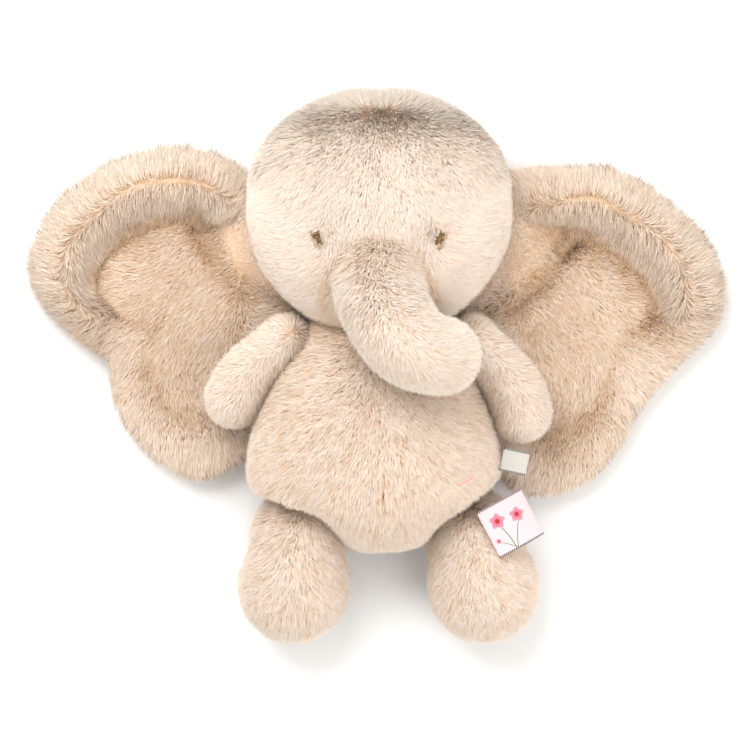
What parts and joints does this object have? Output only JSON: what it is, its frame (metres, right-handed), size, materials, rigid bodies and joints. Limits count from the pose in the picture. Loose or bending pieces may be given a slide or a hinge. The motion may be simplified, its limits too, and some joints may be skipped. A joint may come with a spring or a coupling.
{
  "type": "stuffed elephant toy",
  "caption": "Long-pile plush elephant lying on its back, with large floppy ears, a curled trunk, soft sewn limbs, stitched eyes and a folded ribbon tag.",
  "frame": {"origin": "middle of the flat of the back, where the body rests on the floor", "axes": "+Z out of the belly and the face, +Y towards the crown of the head, +X towards the toy's own left"},
  "size_m": [0.3508, 0.2727, 0.1289],
  "materials": {
    "fur": "matte",
    "ear_fur": "matte",
    "stuffing": "matte",
    "eye_thread": "satin",
    "pink_thread": "satin",
    "woven_label": "satin",
    "ribbon": "satin"
  },
  "bodies": {
    "body": {"body_front_left": "fur", "body_front_right": "fur", "body_back": "fur", "body_stuffing": "stuffing", "side_label": "woven_label", "hip_stitch": "pink_thread"},
    "head": {"head_face_left": "fur", "head_face_right": "fur", "head_back": "fur", "head_stuffing": "stuffing", "eye_left": "eye_thread", "eye_right": "eye_thread"},
    "trunk": {"trunk_upper": "fur", "trunk_under": "fur", "trunk_stuffing": "stuffing"},
    "ear_left": {"ear_left_inner": "ear_fur", "ear_left_outer": "fur", "ear_left_wadding": "stuffing"},
    "ear_right": {"ear_right_inner": "ear_fur", "ear_right_outer": "fur", "ear_right_wadding": "stuffing"},
    "arm_left": {"arm_left_front": "fur", "arm_left_back": "fur", "arm_left_stuffing": "stuffing"},
    "arm_right": {"arm_right_front": "fur", "arm_right_back": "fur", "arm_right_stuffing": "stuffing"},
    "leg_left": {"leg_left_outer": "fur", "leg_left_inner": "fur", "leg_left_stuffing": "stuffing", "ribbon_tag": "ribbon"},
    "leg_right": {"leg_right_outer": "fur", "leg_right_inner": "fur", "leg_right_stuffing": "stuffing"}
  },
  "joints": [
    {"name": "neck_nod", "type": "hinge", "parent": "body", "child": "head", "pos_m": [0, 0.057, 0.044], "axis": [1, 0, 0], "range_deg": [-5, 12], "stiffness_Nm_per_rad": 1},
    {"name": "trunk_lift", "type": "hinge", "parent": "head", "child": "trunk", "pos_m": [0, 0.088, 0.08951], "axis": [-1, 0, 0], "range_deg": [0, 45], "stiffness_Nm_per_rad": 0.15},
    {"name": "ear_left_flap", "type": "hinge", "parent": "head", "child": "ear_left", "pos_m": [0.0525, 0.057, 0.019], "axis": [0, -1, 0], "range_deg": [-50, 12], "stiffness_Nm_per_rad": 0.25},
    {"name": "ear_right_flap", "type": "hinge", "parent": "head", "child": "ear_right", "pos_m": [-0.0525, 0.057, 0.019], "axis": [0, 1, 0], "range_deg": [-50, 12], "stiffness_Nm_per_rad": 0.25},
    {"name": "arm_left_lift", "type": "hinge", "parent": "body", "child": "arm_left", "pos_m": [0.0483, 0.048, 0.046], "axis": [-0.788, -0.6157, 0], "range_deg": [-5, 45], "stiffness_Nm_per_rad": 0.06},
    {"name": "arm_right_lift", "type": "hinge", "parent": "body", "child": "arm_right", "pos_m": [-0.0483, 0.048, 0.046], "axis": [-0.788, 0.6157, 0], "range_deg": [-5, 70], "stiffness_Nm_per_rad": 0.06},
    {"name": "leg_left_lift", "type": "hinge", "parent": "body", "child": "leg_left", "pos_m": [0.0444, -0.04502, 0.028], "axis": [-1, 0, 0], "range_deg": [-15, 60], "stiffness_Nm_per_rad": 0.2},
    {"name": "leg_right_lift", "type": "hinge", "parent": "body", "child": "leg_right", "pos_m": [-0.0384, -0.04502, 0.028], "axis": [-1, 0, 0], "range_deg": [-15, 60], "stiffness_Nm_per_rad": 0.2}
  ]
}
